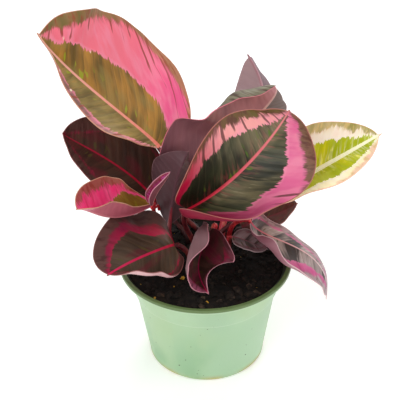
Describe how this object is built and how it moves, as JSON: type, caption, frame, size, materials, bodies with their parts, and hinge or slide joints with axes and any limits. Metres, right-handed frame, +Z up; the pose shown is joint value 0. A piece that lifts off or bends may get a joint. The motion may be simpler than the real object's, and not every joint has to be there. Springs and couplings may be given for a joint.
{
  "type": "potted calathea",
  "caption": "Young rose-painted calathea with pink, dark, lime and plum leaves on red stems, in a squat green nursery pot filled with soil.",
  "frame": {"origin": "middle of the pot's flat base, on the surface it stands on", "axes": "+Z up, -Y towards the viewer of the picture, +X to the viewer's right"},
  "size_m": [0.1952, 0.1519, 0.2214],
  "materials": {
    "pot_green": "thin pale green plastic, satin, darker at the lip",
    "soil": "dark moist potting mix of bark and peat, rough",
    "leaf_rose": "leathery leaf painted pink round an olive middle, satin",
    "leaf_dark": "leathery dark brown-green leaf with a crimson rib, satin",
    "leaf_lime": "leathery lime leaf with a cream border, satin",
    "leaf_plum": "plum underside of a leathery leaf, matt",
    "stem_red": "smooth salmon to crimson stem, satin"
  },
  "bodies": {
    "root": {"pot": "pot_green", "soil": "soil", "leaf_01": "leaf_rose", "leaf_02": "leaf_dark", "leaf_03": "leaf_rose", "leaf_04": "leaf_dark", "leaf_05": "leaf_rose", "leaf_06": "leaf_lime", "leaf_07": "leaf_plum", "leaf_08": "leaf_plum", "leaf_09": "leaf_plum", "leaf_10": "leaf_dark", "leaf_11": "leaf_dark", "leaf_12": "leaf_dark", "leaf_13": "leaf_dark", "leaf_14": "leaf_rose", "leaf_15": "leaf_dark", "stem_01": "stem_red", "stem_02": "stem_red", "stem_03": "stem_red", "stem_04": "stem_red", "stem_05": "stem_red", "stem_06": "stem_red", "stem_07": "stem_red", "stem_08": "stem_red", "stem_09": "stem_red", "stem_10": "stem_red", "stem_11": "stem_red", "stem_12": "stem_red", "stem_13": "stem_red", "stem_14": "stem_red", "stem_15": "stem_red"}
  },
  "joints": []
}
